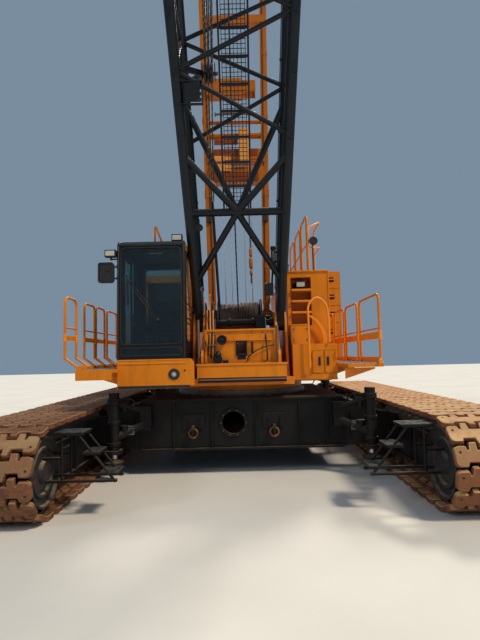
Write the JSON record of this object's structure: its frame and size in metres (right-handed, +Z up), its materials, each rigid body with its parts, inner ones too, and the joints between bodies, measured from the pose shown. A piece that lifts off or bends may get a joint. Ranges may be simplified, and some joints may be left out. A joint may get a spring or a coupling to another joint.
{
  "type": "crawler crane",
  "caption": "Lattice-boom crawler crane with a tall mast, side cab, machine house, catwalks, stacked rear weights and a hook block.",
  "frame": {"origin": "on the ground under the swing axis", "axes": "+Z up, -Y the crane's front, +X the crane's left"},
  "size_m": [7.5, 13.2151, 20.1372],
  "materials": {
    "paint_orange": "sun-faded enamel, chipped at edges",
    "paint_black": "black enamel, dusty",
    "frame_black": "black enamel with dirt and rust",
    "track_steel": "cast steel, rusted tan with dry mud",
    "bare_steel": "greased machined steel",
    "rope_steel": "greased wire rope",
    "galvanised": "dull galvanised grating and treads",
    "glass": "tinted safety glass",
    "rubber": "black moulded plastic",
    "seat_fabric": "woven dark seat cloth",
    "weight_paint": "enamel on cast slabs"
  },
  "bodies": {
    "undercarriage": {"carbody": "frame_black", "slew_ring": "bare_steel", "side_frames": "frame_black", "track_left": "track_steel", "track_right": "track_steel", "idlers": "frame_black", "sprockets": "frame_black", "rollers": "frame_black", "steps": "galvanised", "jacks": "frame_black", "tow_lugs": "track_steel"},
    "boom": {"boom_foot": "paint_black", "boom_middle": "paint_black", "boom_head": "paint_black", "boom_walkway": "galvanised", "head_sheaves": "bare_steel"},
    "mast": {"mast": "paint_orange", "mast_sheaves": "bare_steel"},
    "pendants": {"pendants": "rope_steel"},
    "hook_block": {"hoist_falls": "rope_steel", "hook_block": "paint_orange"},
    "hook": {"hook": "paint_black"},
    "cab_door": {"cab_door": "paint_black", "cab_door_glass": "glass"},
    "side_door_1": {"side_door_1": "paint_orange"},
    "side_door_2": {"side_door_2": "paint_orange"},
    "side_door_3": {"side_door_3": "paint_orange"},
    "locker_door_1": {"locker_door_1": "paint_orange"},
    "locker_door_2": {"locker_door_2": "paint_orange"},
    "upper": {"upper_frame": "paint_orange", "foot_pins": "bare_steel", "front_beam": "paint_orange", "winches": "rope_steel", "hoist_gantry": "paint_orange", "engine": "bare_steel", "machine_house": "paint_orange", "locker_box": "paint_orange", "front_steps": "paint_orange", "exhaust": "bare_steel", "tank_house": "paint_orange", "cab_base": "paint_orange", "cab_shell": "paint_black", "cab_glass": "glass", "seat": "seat_fabric", "console": "rubber", "cab_mirror": "rubber", "lamps": "rubber", "catwalks": "paint_orange", "side_rails": "paint_orange", "roof_rails": "paint_orange", "weight_tray": "weight_paint", "weight_stacks": "weight_paint"}
  },
  "joints": [
    {"name": "swing", "type": "hinge", "parent": "undercarriage", "child": "upper", "pos_m": [0, 0, 1.435], "axis": [0, 0, 1], "continuous": true},
    {"name": "boom_lower", "type": "hinge", "parent": "upper", "child": "boom", "pos_m": [0, -1.2, 2.73], "axis": [1, 0, 0], "range_deg": [-8, 42]},
    {"name": "mast_tilt", "type": "hinge", "parent": "upper", "child": "mast", "pos_m": [0, 0, 2.9], "axis": [1, 0, 0], "range_deg": [-9.2, 47.4]},
    {"name": "pendant_pin", "type": "hinge", "parent": "boom", "child": "pendants", "pos_m": [0, -6.1905, 19.77194], "axis": [1, 0, 0], "range_deg": [-7.5, 1.6]},
    {"name": "hook_hang", "type": "hinge", "parent": "boom", "child": "hook_block", "pos_m": [0, -7.48511, 19.61416], "axis": [1, 0, 0], "range_deg": [-42.5, 8.5]},
    {"name": "hook_swivel", "type": "hinge", "parent": "hook_block", "child": "hook", "pos_m": [0, -7.48511, 15.08416], "axis": [0, 0, 1], "continuous": true},
    {"name": "cab_door_slide", "type": "slide", "parent": "upper", "child": "cab_door", "axis": [0, 1, 0], "range_m": [0, 0.75]},
    {"name": "side_door_1_hinge", "type": "hinge", "parent": "upper", "child": "side_door_1", "pos_m": [1.782, -0.644, 2.74], "axis": [0, 0, -1], "range_deg": [0, 110]},
    {"name": "side_door_2_hinge", "type": "hinge", "parent": "upper", "child": "side_door_2", "pos_m": [1.782, 0.306, 2.74], "axis": [0, 0, -1], "range_deg": [0, 110]},
    {"name": "side_door_3_hinge", "type": "hinge", "parent": "upper", "child": "side_door_3", "pos_m": [1.782, 1.606, 2.74], "axis": [0, 0, -1], "range_deg": [0, 110]},
    {"name": "locker_door_1_hinge", "type": "hinge", "parent": "upper", "child": "locker_door_1", "pos_m": [1.311, -1.732, 1.95], "axis": [0, 0, -1], "range_deg": [0, 90]},
    {"name": "locker_door_2_hinge", "type": "hinge", "parent": "upper", "child": "locker_door_2", "pos_m": [1.731, -1.732, 1.95], "axis": [0, 0, 1], "range_deg": [0, 90]}
  ],
  "couplings": [
    {"joint": "mast_tilt", "follows": "boom_lower", "ratio": 1.118},
    {"joint": "pendant_pin", "follows": "boom_lower", "ratio": -0.172},
    {"joint": "hook_hang", "follows": "boom_lower", "ratio": -1}
  ]
}
